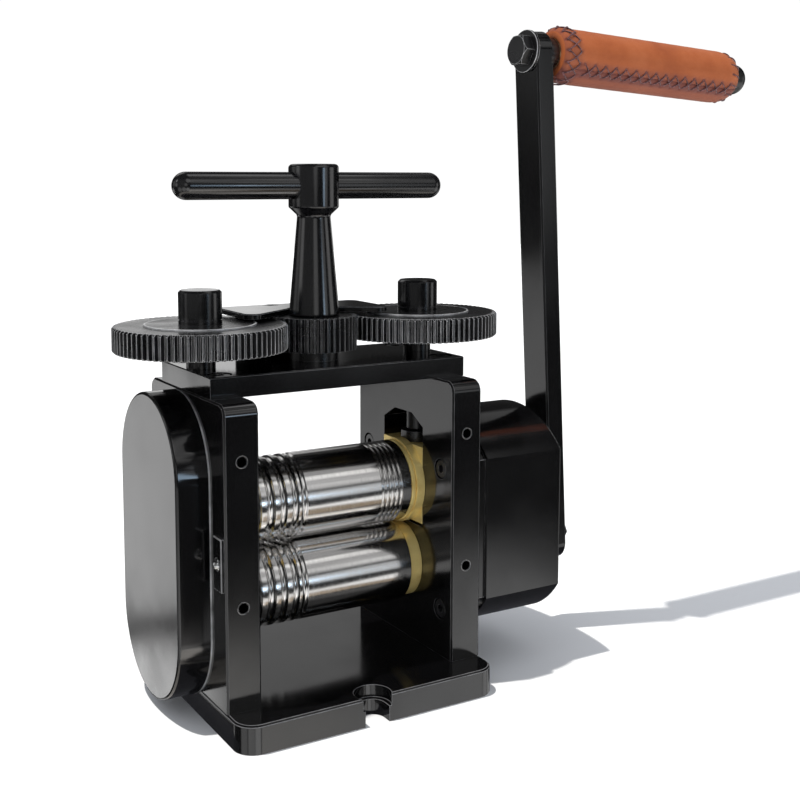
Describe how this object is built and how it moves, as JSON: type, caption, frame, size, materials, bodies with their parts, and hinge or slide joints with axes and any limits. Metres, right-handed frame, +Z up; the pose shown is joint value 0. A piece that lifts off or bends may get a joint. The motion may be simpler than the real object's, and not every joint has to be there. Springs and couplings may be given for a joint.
{
  "type": "jewellers rolling mill",
  "caption": "Hand cranked jeweller's rolling mill: two grooved steel rolls in a bolted black frame, geared screw-down with T-handle, leather-gripped crank.",
  "frame": {"origin": "centre of the base plate's underside", "axes": "+X along the rolls, towards the crank; -Y is the working front; +Z up"},
  "size_m": [0.35, 0.1124, 0.301],
  "materials": {
    "gloss_black_paint": "gloss",
    "black_steel": "satin, blackened",
    "polished_roll_steel": "polished",
    "bright_steel": "machined",
    "brass": "turned",
    "tan_leather": "smooth, stitched",
    "beech": "plain",
    "chrome_ball": "polished"
  },
  "bodies": {
    "root": {"base_plate": "gloss_black_paint", "frame_screws": "black_steel", "left_side_frame": "gloss_black_paint", "right_side_frame": "gloss_black_paint", "lower_bushes": "brass", "left_gear_cover": "gloss_black_paint", "side_cover_screws": "black_steel", "oiler_plate": "gloss_black_paint", "ball_oiler": "chrome_ball", "top_plate": "gloss_black_paint", "pinion_bush": "black_steel", "keeper_plate": "gloss_black_paint", "keeper_post": "gloss_black_paint", "keeper_screws": "black_steel", "gearbox_back_plate": "gloss_black_paint", "gearbox_housing": "gloss_black_paint", "layshaft_bushes": "brass", "crank_bush": "brass", "lift_springs": "bright_steel"},
    "upper_carriage": {"left_upper_block": "brass", "right_upper_block": "brass", "upper_thrust_rings": "brass", "thrust_pads": "bright_steel"},
    "upper_roll": {"upper_roll": "polished_roll_steel", "upper_sync_gear": "bright_steel", "upper_sync_key": "bright_steel"},
    "lower_roll": {"lower_roll": "polished_roll_steel", "lower_sync_gear": "bright_steel", "lower_roll_keys": "bright_steel", "drive_gear": "bright_steel"},
    "layshaft": {"layshaft": "bright_steel", "layshaft_pinion": "bright_steel", "layshaft_gear": "bright_steel", "layshaft_keys": "bright_steel"},
    "crank": {"crank_shaft": "bright_steel", "crank_pinion": "bright_steel", "crank_assembly_keys": "bright_steel", "crank_collar": "black_steel", "crank_arm": "gloss_black_paint", "crank_washers": "black_steel", "crank_nut": "black_steel", "grip_spindle": "black_steel", "grip_collar": "black_steel", "grip_end_nut": "black_steel"},
    "grip": {"grip_core": "beech", "leather_sleeve": "tan_leather"},
    "t_handle": {"t_handle_stem": "black_steel", "t_handle_bar": "black_steel", "t_bar_set_screw": "black_steel", "centre_pinion": "black_steel", "pinion_key": "bright_steel", "spindle_retainer": "bright_steel"},
    "left_gear": {"left_screw_gear": "black_steel", "left_gear_hub": "black_steel"},
    "right_gear": {"right_screw_gear": "black_steel", "right_gear_hub": "black_steel"},
    "left_screw": {"left_pressure_screw": "bright_steel", "left_screw_key": "bright_steel"},
    "right_screw": {"right_pressure_screw": "bright_steel", "right_screw_key": "bright_steel"}
  },
  "joints": [
    {"name": "lower_roll_spin", "type": "hinge", "parent": "root", "child": "lower_roll", "pos_m": [0, 0, 0.0493], "axis": [1, 0, 0], "continuous": true},
    {"name": "carriage_slide", "type": "slide", "parent": "root", "child": "upper_carriage", "axis": [0, 0, 1], "range_m": [-0.0006, 0.004], "deforming": ["lift_springs"]},
    {"name": "upper_roll_spin", "type": "hinge", "parent": "upper_carriage", "child": "upper_roll", "pos_m": [0, 0, 0.0874], "axis": [1, 0, 0], "continuous": true},
    {"name": "layshaft_spin", "type": "hinge", "parent": "root", "child": "layshaft", "pos_m": [0.085, 0, 0.0868], "axis": [1, 0, 0], "continuous": true},
    {"name": "crank_spin", "type": "hinge", "parent": "root", "child": "crank", "pos_m": [0.1278, 0, 0.0493], "axis": [1, 0, 0], "continuous": true},
    {"name": "grip_spin", "type": "hinge", "parent": "crank", "child": "grip", "pos_m": [0.11485, 0, 0.28845], "axis": [0.9984, 0, -0.0558], "continuous": true},
    {"name": "t_handle_turn", "type": "hinge", "parent": "root", "child": "t_handle", "pos_m": [0, 0, 0.16], "axis": [0, 0, 1], "range_deg": [-1925, 293]},
    {"name": "left_gear_turn", "type": "hinge", "parent": "root", "child": "left_gear", "pos_m": [-0.054, 0, 0.16], "axis": [0, 0, 1], "range_deg": [-147, 963]},
    {"name": "right_gear_turn", "type": "hinge", "parent": "root", "child": "right_gear", "pos_m": [0.054, 0, 0.16], "axis": [0, 0, 1], "range_deg": [-147, 963]},
    {"name": "left_screw_turn", "type": "hinge", "parent": "upper_carriage", "child": "left_screw", "pos_m": [-0.054, 0, 0.12], "axis": [0, 0, 1], "range_deg": [-147, 963]},
    {"name": "right_screw_turn", "type": "hinge", "parent": "upper_carriage", "child": "right_screw", "pos_m": [0.054, 0, 0.12], "axis": [0, 0, 1], "range_deg": [-147, 963]}
  ],
  "couplings": [
    {"joint": "upper_roll_spin", "follows": "lower_roll_spin", "ratio": -1},
    {"joint": "layshaft_spin", "follows": "lower_roll_spin", "ratio": -1.7778},
    {"joint": "crank_spin", "follows": "lower_roll_spin", "ratio": 3.1605},
    {"joint": "t_handle_turn", "follows": "carriage_slide", "rad_per_m": -8377.6},
    {"joint": "left_gear_turn", "follows": "carriage_slide", "rad_per_m": 4188.8},
    {"joint": "right_gear_turn", "follows": "carriage_slide", "rad_per_m": 4188.8},
    {"joint": "left_screw_turn", "follows": "carriage_slide", "rad_per_m": 4188.8},
    {"joint": "right_screw_turn", "follows": "carriage_slide", "rad_per_m": 4188.8}
  ]
}
